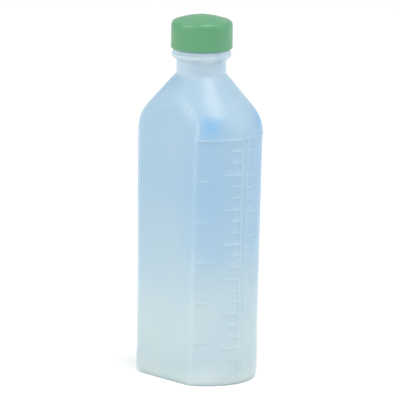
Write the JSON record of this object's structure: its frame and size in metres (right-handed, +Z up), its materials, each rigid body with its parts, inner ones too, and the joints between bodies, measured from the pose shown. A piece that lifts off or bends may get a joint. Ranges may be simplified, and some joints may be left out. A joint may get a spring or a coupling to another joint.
{
  "type": "dispensing bottle",
  "caption": "Blow-moulded oval plastic dispensing bottle with flat sides, raised graduation lines and a lined screw cap.",
  "frame": {"origin": "centre of the standing face, on the neck's axis", "axes": "+Z up along the neck, -Y and +Y out of the flat sides, +X and -X out of the round sides; the moulded scale is on +X"},
  "size_m": [0.0587, 0.04, 0.1618],
  "materials": {
    "bottle_plastic": "translucent, soft sheen",
    "cap_plastic": "satin",
    "liner_foam": "matt, fine foam"
  },
  "bodies": {
    "bottle": {"bottle": "bottle_plastic"},
    "liner": {"cap_liner": "liner_foam"},
    "cap": {"cap": "cap_plastic"}
  },
  "joints": [
    {"name": "cap_lift", "type": "slide", "parent": "bottle", "child": "liner", "axis": [0, 0, 1], "range_m": [0, 0.0225]},
    {"name": "cap_turn", "type": "hinge", "parent": "liner", "child": "cap", "pos_m": [0, 0, 0.15], "axis": [0, 0, 1], "range_deg": [0, 2520]}
  ],
  "couplings": [
    {"joint": "cap_lift", "follows": "cap_turn", "m_per_rad": 0.0005093}
  ]
}
